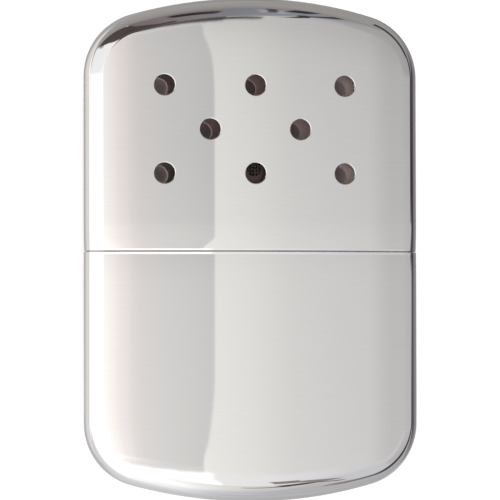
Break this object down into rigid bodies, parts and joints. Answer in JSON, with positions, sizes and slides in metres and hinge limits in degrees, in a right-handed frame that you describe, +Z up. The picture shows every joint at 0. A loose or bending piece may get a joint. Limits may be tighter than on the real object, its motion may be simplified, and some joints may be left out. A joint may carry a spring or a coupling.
{
  "type": "catalytic hand warmer",
  "caption": "Pocket hand warmer: polished metal case with rounded corners, a vented cap that slides off, and a cotton-packed fuel tank with a slip-on catalytic burner.",
  "frame": {"origin": "on the table, under the middle of the case as it lies on its back", "axes": "+X across the case, +Y along it from the tank to the cap, +Z up, out of the front face"},
  "size_m": [0.0662, 0.099, 0.013],
  "materials": {
    "polished_chrome": "polished",
    "satin_nickel": "satin",
    "burner_steel": "satin",
    "wire_gauze": "satin",
    "fibre_mat": "matte",
    "cotton": "matte",
    "felt": "matte"
  },
  "bodies": {
    "tank": {"tank_shell": "polished_chrome", "collar_deck": "satin_nickel", "filler_neck": "satin_nickel", "felt_pad": "felt", "left_wadding": "cotton", "centre_wadding": "cotton", "right_wadding": "cotton", "neck_tuft": "cotton"},
    "cap": {"cap_shell": "polished_chrome"},
    "burner": {"burner_skirt": "burner_steel", "support_grid": "burner_steel", "burner_cage": "burner_steel", "catalyst_mat": "fibre_mat", "front_gauze": "wire_gauze", "back_gauze": "wire_gauze"}
  },
  "joints": [
    {"name": "cap_slide", "type": "slide", "parent": "tank", "child": "cap", "axis": [0, 1, 0], "range_m": [0, 0.048]},
    {"name": "burner_lift", "type": "slide", "parent": "tank", "child": "burner", "axis": [0, 1, 0], "range_m": [0, 0.022]}
  ]
}
